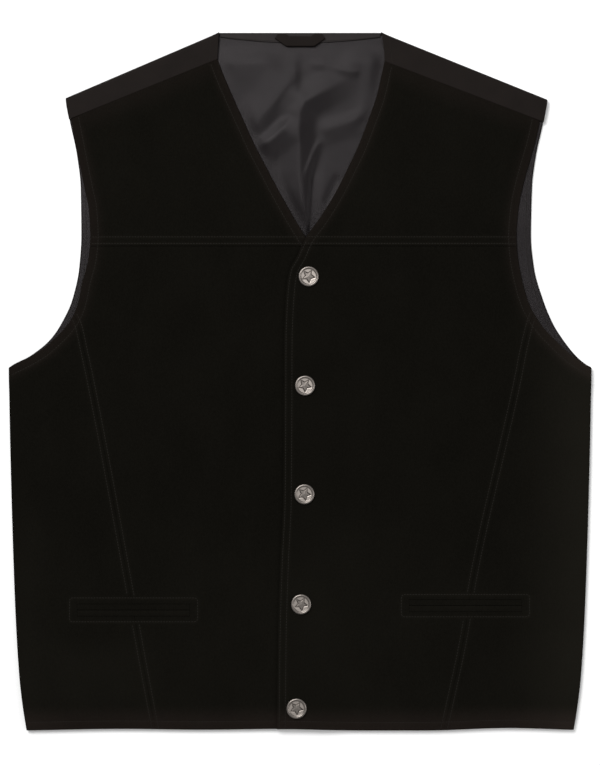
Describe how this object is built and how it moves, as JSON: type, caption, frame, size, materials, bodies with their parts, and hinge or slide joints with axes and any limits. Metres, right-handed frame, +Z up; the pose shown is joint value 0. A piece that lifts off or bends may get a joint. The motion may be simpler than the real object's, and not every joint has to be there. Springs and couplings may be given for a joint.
{
  "type": "suede vest laid flat",
  "caption": "Sleeveless V-neck suede vest laid flat on its back, closed in front by round star snaps, with front yokes, jetted pockets and a satin back lining.",
  "frame": {"origin": "middle of the vest's outline, on the surface that it lies on", "axes": "+X across to the wearer's left side, +Y from the hem to the neck, +Z up from the surface"},
  "size_m": [0.56, 0.671, 0.0124],
  "materials": {
    "suede": "black suede, matt with a soft nap",
    "back_cloth": "smooth brown-black cloth",
    "satin": "dark grey satin",
    "snap_metal": "antiqued silver, dark in its hollows"
  },
  "bodies": {
    "root": {"back": "back_cloth", "back_lining": "satin", "neck_band": "back_cloth", "hanger_loop": "back_cloth", "yoke_right": "suede", "yoke_left": "suede", "front_right": "suede", "front_left": "suede", "side_front_right": "suede", "side_front_left": "suede", "pocket_lip_upper_right": "suede", "pocket_lip_lower_right": "suede", "pocket_lip_upper_left": "suede", "pocket_lip_lower_left": "suede", "snap_1": "snap_metal", "snap_2": "snap_metal", "snap_3": "snap_metal", "snap_4": "snap_metal", "snap_5": "snap_metal"}
  },
  "joints": []
}
